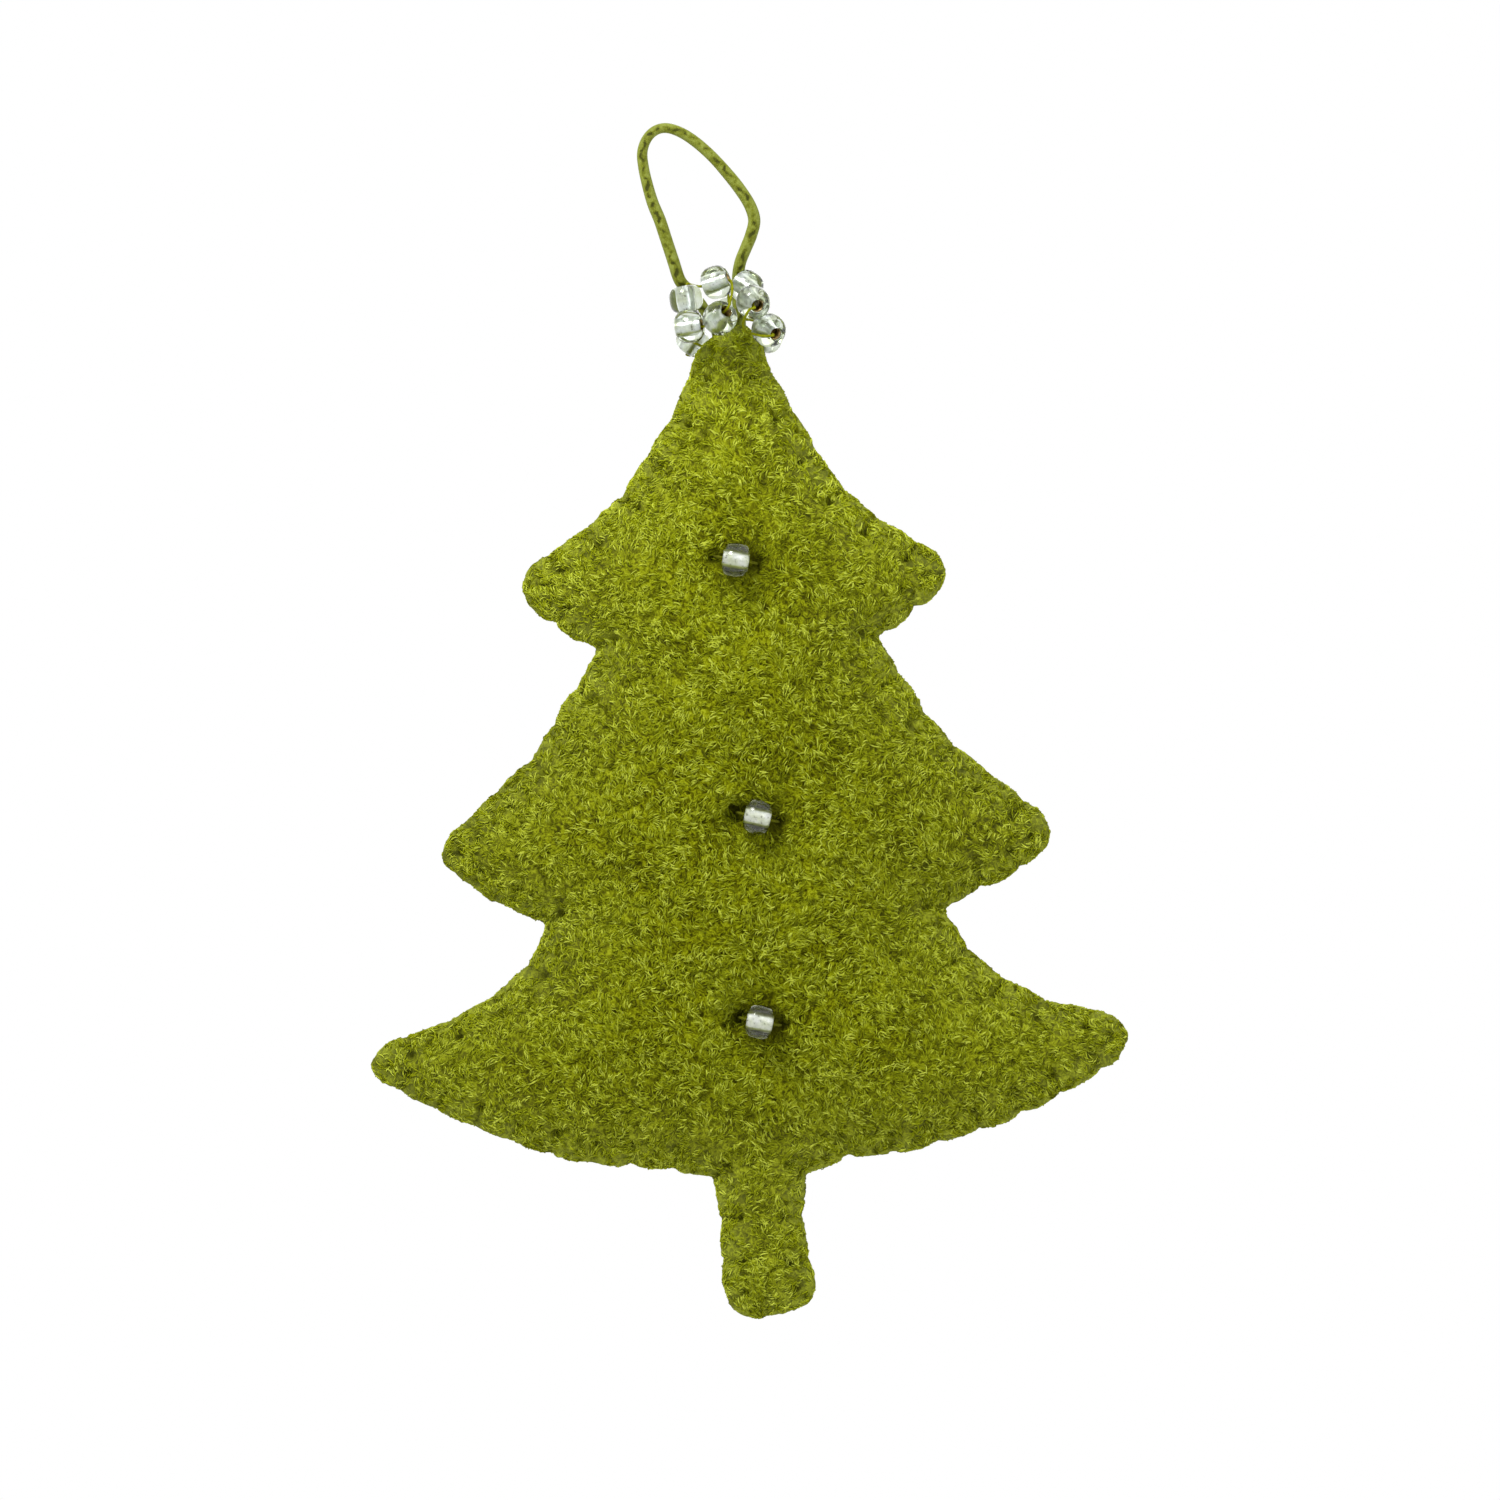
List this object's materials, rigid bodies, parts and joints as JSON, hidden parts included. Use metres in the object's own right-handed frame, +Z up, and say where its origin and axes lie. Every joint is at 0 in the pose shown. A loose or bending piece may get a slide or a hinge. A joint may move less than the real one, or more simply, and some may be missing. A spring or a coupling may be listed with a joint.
{
  "type": "christmas ornament",
  "caption": "Stuffed felt tree to hang up, whip-stitched round the edge, with glass beads tied through the front, a beaded tip and a loop of waxed cord.",
  "frame": {"origin": "inside of the hanging loop's crest, where the cord lies on a hook", "axes": "+Z up, the way the tree hangs; the front with the tied beads faces -Y; +X to the right seen from the front"},
  "size_m": [0.0882, 0.0206, 0.1386],
  "materials": {
    "felt": "boiled wool felt, nubby, dull",
    "filling": "loose fibre filling",
    "thread": "cotton sewing thread, matched to the felt",
    "glass_bead": "clear glass, fire polished",
    "bead_lining": "silver lining inside the bores",
    "cord": "waxed cotton cord, slight sheen"
  },
  "bodies": {
    "loop": {"hanging_loop": "cord"},
    "tree": {"cord_ends": "cord", "front_panel": "felt", "back_panel": "felt", "filling": "filling", "edge_thread": "thread", "upper_bead_thread": "thread", "middle_bead_thread": "thread", "lower_bead_thread": "thread", "tip_thread_left": "thread", "tip_thread_right": "thread", "tip_thread_back": "thread", "tip_bead_a": "glass_bead", "tip_bead_b": "glass_bead", "tip_bead_c": "glass_bead", "tip_bead_d": "glass_bead", "tip_bead_e": "glass_bead", "tip_bead_f": "glass_bead", "tip_bead_g": "glass_bead", "tip_bead_h": "glass_bead", "tip_bead_i": "glass_bead", "tip_bead_j": "glass_bead"},
    "bead_upper": {"upper_bead": "glass_bead"},
    "bead_middle": {"middle_bead": "glass_bead"},
    "bead_lower": {"lower_bead": "glass_bead"}
  },
  "joints": [
    {"name": "swing", "type": "hinge", "parent": "loop", "child": "tree", "pos_m": [0.0048, 0, -0.01553], "axis": [0.9717, 0, 0.2363], "range_deg": [-90, 90]},
    {"name": "upper_bead_turn", "type": "hinge", "parent": "tree", "child": "bead_upper", "pos_m": [0.00676, -0.00729, -0.04927], "axis": [0.9806, 0, -0.1961], "continuous": true},
    {"name": "middle_bead_turn", "type": "hinge", "parent": "tree", "child": "bead_middle", "pos_m": [0.00832, -0.00869, -0.07878], "axis": [0.9678, 0, -0.2516], "continuous": true},
    {"name": "lower_bead_turn", "type": "hinge", "parent": "tree", "child": "bead_lower", "pos_m": [0.00789, -0.00848, -0.10216], "axis": [0.9766, 0, -0.2149], "continuous": true}
  ]
}
